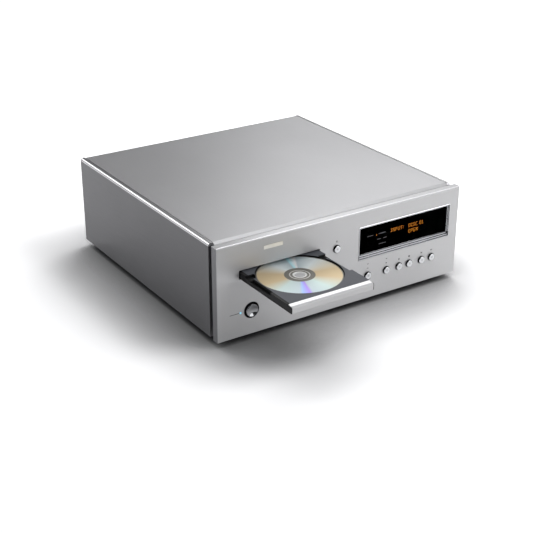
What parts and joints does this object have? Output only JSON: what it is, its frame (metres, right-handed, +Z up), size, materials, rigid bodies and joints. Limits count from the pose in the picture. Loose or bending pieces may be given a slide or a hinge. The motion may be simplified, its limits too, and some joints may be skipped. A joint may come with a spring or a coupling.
{
  "type": "disc player",
  "caption": "Full-width silver hi-fi disc player with a thick front panel, chrome-framed display, push buttons and a disc tray that slides out under motor drive.",
  "frame": {"origin": "on the floor, under the middle of the player's box with the tray out", "axes": "+X right seen from the front, the front faces -Y, +Z up"},
  "size_m": [0.43, 0.561, 0.153],
  "materials": {
    "front_aluminium": "bead-blasted and silver anodised, satin",
    "case_aluminium": "fine-brushed and silver anodised",
    "sheet_steel": "zinc-plated pressed sheet",
    "rear_paint": "silver-grey powder coat",
    "foot_aluminium": "turned",
    "rubber": "moulded, matt",
    "screw_steel": "ground",
    "chrome": "polished",
    "smoked_window": "smoked acrylic, polished",
    "display_glass": "display tube glass",
    "circuit_board": "solder mask",
    "badge_aluminium": "satin, pale",
    "dark_chrome": "dark nickel",
    "blue_lamp": "lit light guide",
    "black_plastic": "moulded, fine texture",
    "tray_plastic": "moulded, fine texture",
    "lip_aluminium": "bead-blasted and silver anodised",
    "disc_mirror": "mirrored under clear plastic",
    "gear_plastic": "moulded acetal",
    "motor_steel": "plated can",
    "brass": "turned and plated",
    "lens_glass": "coated",
    "transformer_wrap": "taped winding under varnish",
    "capacitor_sleeve": "shrink sleeve"
  },
  "bodies": {
    "case": {"front_panel": "front_aluminium", "side_panel_left": "case_aluminium", "side_panel_right": "case_aluminium", "top_cover": "case_aluminium", "front_frame": "sheet_steel", "base_plate": "sheet_steel", "rear_panel": "rear_paint", "feet": "foot_aluminium", "foot_pads": "rubber", "case_screws": "screw_steel", "display_bezel": "chrome", "display_window": "smoked_window", "display_tube": "display_glass", "display_board": "circuit_board", "badge_plate": "badge_aluminium", "power_ring": "dark_chrome", "power_switch": "black_plastic", "power_lamp": "blue_lamp", "key_board": "circuit_board", "key_switches": "black_plastic", "loader_frame": "black_plastic", "loading_motor": "motor_steel", "loading_belt": "rubber", "drive_stand": "sheet_steel", "isolators": "rubber", "lift_posts": "screw_steel", "clamp_bridge": "sheet_steel", "transformer": "transformer_wrap", "power_board": "circuit_board", "audio_board": "circuit_board", "filter_capacitors": "capacitor_sleeve", "board_posts": "brass", "line_sockets": "brass", "balanced_sockets": "black_plastic", "digital_sockets": "black_plastic", "mains_inlet": "black_plastic"},
    "tray": {"tray": "tray_plastic", "tray_lip": "lip_aluminium"},
    "disc": {"disc": "disc_mirror"},
    "loading_gear": {"loading_gear": "gear_plastic"},
    "loading_pulley": {"loading_pulley": "gear_plastic"},
    "motor_pulley": {"motor_pulley": "brass"},
    "traverse": {"traverse_plate": "sheet_steel", "spindle_motor": "motor_steel", "guide_rods": "screw_steel", "sled_motor": "motor_steel"},
    "lift_cam": {"lift_cam": "gear_plastic"},
    "turntable": {"turntable": "black_plastic"},
    "pickup_sled": {"pickup_sled": "black_plastic"},
    "pickup_lens": {"pickup_lens": "lens_glass"},
    "sled_screw": {"sled_screw": "screw_steel"},
    "clamp_puck": {"clamp_puck": "black_plastic"},
    "power_button": {"power_button": "chrome"},
    "open_close_button": {"open_close_button": "chrome"},
    "input_button": {"input_button": "chrome"},
    "play_button": {"play_button": "chrome"},
    "pause_button": {"pause_button": "chrome"},
    "stop_button": {"stop_button": "chrome"},
    "previous_button": {"previous_button": "chrome"},
    "next_button": {"next_button": "chrome"}
  },
  "joints": [
    {"name": "tray_slide", "type": "slide", "parent": "case", "child": "tray", "axis": [0, 1, 0], "range_m": [0, 0.126]},
    {"name": "disc_spin", "type": "hinge", "parent": "tray", "child": "disc", "pos_m": [-0.112, -0.2021, 0.107], "axis": [0, 0, 1], "continuous": true},
    {"name": "loading_gear_spin", "type": "hinge", "parent": "case", "child": "loading_gear", "pos_m": [-0.067, -0.1195, 0.095], "axis": [0, 0, 1], "range_deg": [-5, 726.9]},
    {"name": "loading_pulley_spin", "type": "hinge", "parent": "case", "child": "loading_pulley", "pos_m": [-0.091, -0.1195, 0.095], "axis": [0, 0, -1], "range_deg": [-10, 2175.8]},
    {"name": "motor_pulley_spin", "type": "hinge", "parent": "case", "child": "motor_pulley", "pos_m": [-0.137, -0.1195, 0.095], "axis": [0, 0, -1], "range_deg": [-20, 5975.9]},
    {"name": "traverse_lift", "type": "slide", "parent": "case", "child": "traverse", "axis": [0, 0, 1], "range_m": [0, 0.0075]},
    {"name": "cam_slide", "type": "slide", "parent": "case", "child": "lift_cam", "axis": [1, 0, 0], "range_m": [0, 0.015]},
    {"name": "spindle_spin", "type": "hinge", "parent": "traverse", "child": "turntable", "pos_m": [-0.112, -0.0761, 0.0992], "axis": [0, 0, 1], "continuous": true},
    {"name": "sled_slide", "type": "slide", "parent": "traverse", "child": "pickup_sled", "axis": [0, 1, 0], "range_m": [0, 0.034]},
    {"name": "sled_screw_spin", "type": "hinge", "parent": "traverse", "child": "sled_screw", "pos_m": [-0.142, -0.0521, 0.0902], "axis": [0, 1, 0], "range_deg": [-10, 6130]},
    {"name": "lens_focus", "type": "slide", "parent": "pickup_sled", "child": "pickup_lens", "axis": [0, 0, 1], "range_m": [-0.0005, 0.0005], "stiffness_N_per_m": 20},
    {"name": "clamp_lift", "type": "slide", "parent": "case", "child": "clamp_puck", "axis": [0, 0, 1], "range_m": [0, 0.0015]},
    {"name": "power_press", "type": "slide", "parent": "case", "child": "power_button", "axis": [0, 1, 0], "range_m": [0, 0.0025], "stiffness_N_per_m": 900},
    {"name": "open_close_press", "type": "slide", "parent": "case", "child": "open_close_button", "axis": [0, 1, 0], "range_m": [0, 0.0015], "stiffness_N_per_m": 700},
    {"name": "input_press", "type": "slide", "parent": "case", "child": "input_button", "axis": [0, 1, 0], "range_m": [0, 0.0015], "stiffness_N_per_m": 700},
    {"name": "play_press", "type": "slide", "parent": "case", "child": "play_button", "axis": [0, 1, 0], "range_m": [0, 0.0015], "stiffness_N_per_m": 700},
    {"name": "pause_press", "type": "slide", "parent": "case", "child": "pause_button", "axis": [0, 1, 0], "range_m": [0, 0.0015], "stiffness_N_per_m": 700},
    {"name": "stop_press", "type": "slide", "parent": "case", "child": "stop_button", "axis": [0, 1, 0], "range_m": [0, 0.0015], "stiffness_N_per_m": 700},
    {"name": "previous_press", "type": "slide", "parent": "case", "child": "previous_button", "axis": [0, 1, 0], "range_m": [0, 0.0015], "stiffness_N_per_m": 700},
    {"name": "next_press", "type": "slide", "parent": "case", "child": "next_button", "axis": [0, 1, 0], "range_m": [0, 0.0015], "stiffness_N_per_m": 700}
  ],
  "couplings": [
    {"joint": "loading_gear_spin", "follows": "tray_slide", "rad_per_m": 100},
    {"joint": "loading_pulley_spin", "follows": "tray_slide", "rad_per_m": 300},
    {"joint": "motor_pulley_spin", "follows": "tray_slide", "rad_per_m": 825},
    {"joint": "traverse_lift", "follows": "cam_slide", "ratio": 0.5},
    {"joint": "sled_screw_spin", "follows": "sled_slide", "rad_per_m": 3141.6}
  ]
}
